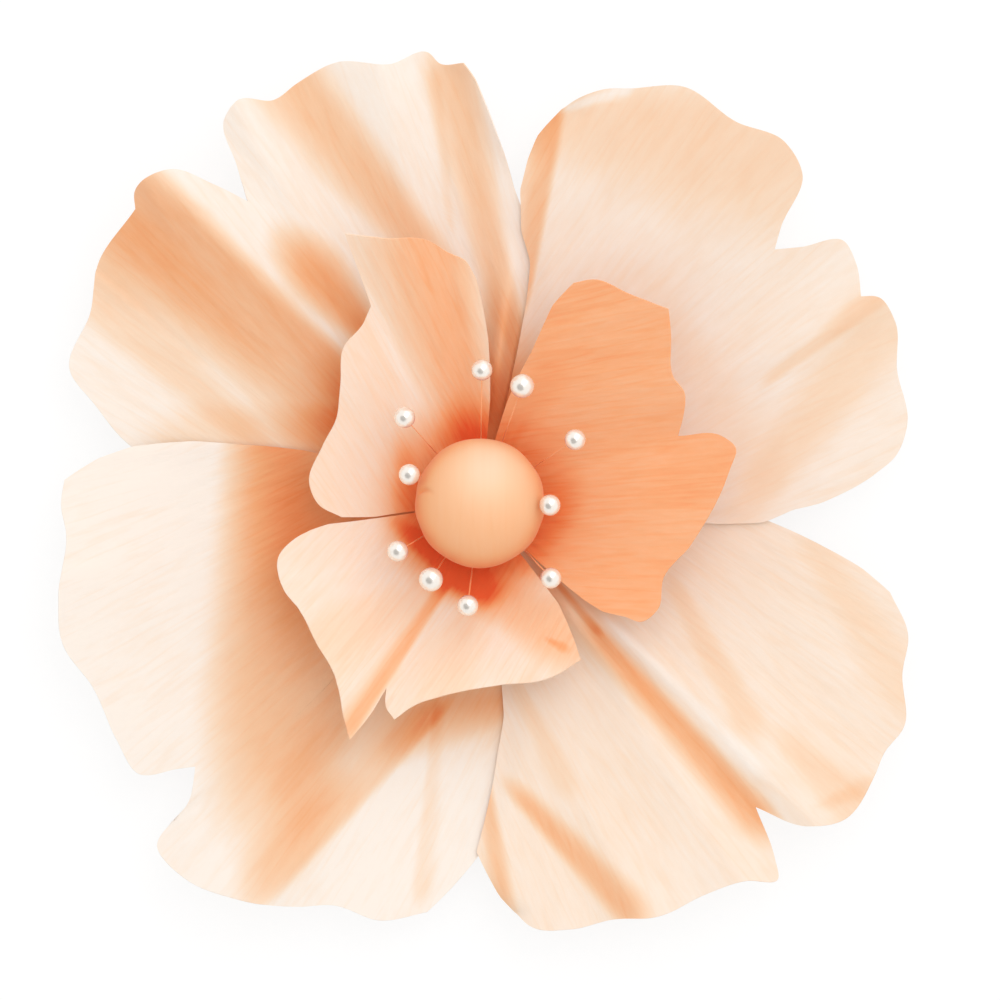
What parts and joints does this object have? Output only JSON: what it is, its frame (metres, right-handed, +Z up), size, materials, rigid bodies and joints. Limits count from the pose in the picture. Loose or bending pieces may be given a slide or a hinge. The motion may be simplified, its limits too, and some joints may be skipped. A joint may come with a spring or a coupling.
{
  "type": "crepe paper flower",
  "caption": "Crepe paper flower lying face up: broad notched outer petals, smaller cupped inner petals, a paper-covered ball and pearl-tipped stamens on a card disc.",
  "frame": {"origin": "middle of the card disc's underside, the flat face the flower rests on", "axes": "+Z up through the ball, -Z into the surface it lies on; +Y towards the notch between the two upper petals"},
  "size_m": [0.1693, 0.1748, 0.03],
  "materials": {
    "card": "plain card",
    "outer_crepe": "stretched crepe paper, pale peach",
    "inner_crepe": "stretched crepe paper, peach orange",
    "ball_crepe": "crepe paper stretched smooth",
    "foam": "moulded foam",
    "thread": "stiffened thread",
    "pearl_lacquer": "pearl lacquer"
  },
  "bodies": {
    "root": {"backing_disc": "card", "petal_outer_upper_left": "outer_crepe", "petal_outer_lower_left": "outer_crepe", "petal_outer_lower_right": "outer_crepe", "petal_outer_upper_right": "outer_crepe", "petal_inner_upper_left": "inner_crepe", "petal_inner_lower_left": "inner_crepe", "petal_inner_right": "inner_crepe", "ball_core": "foam", "ball_cover": "ball_crepe", "pearl_01": "pearl_lacquer", "pearl_02": "pearl_lacquer", "pearl_03": "pearl_lacquer", "pearl_04": "pearl_lacquer", "pearl_05": "pearl_lacquer", "pearl_06": "pearl_lacquer", "pearl_07": "pearl_lacquer", "pearl_08": "pearl_lacquer", "pearl_09": "pearl_lacquer", "pearl_10": "pearl_lacquer", "filament_01": "thread", "filament_02": "thread", "filament_03": "thread", "filament_04": "thread", "filament_05": "thread", "filament_06": "thread", "filament_07": "thread", "filament_08": "thread", "filament_09": "thread", "filament_10": "thread"}
  },
  "joints": []
}
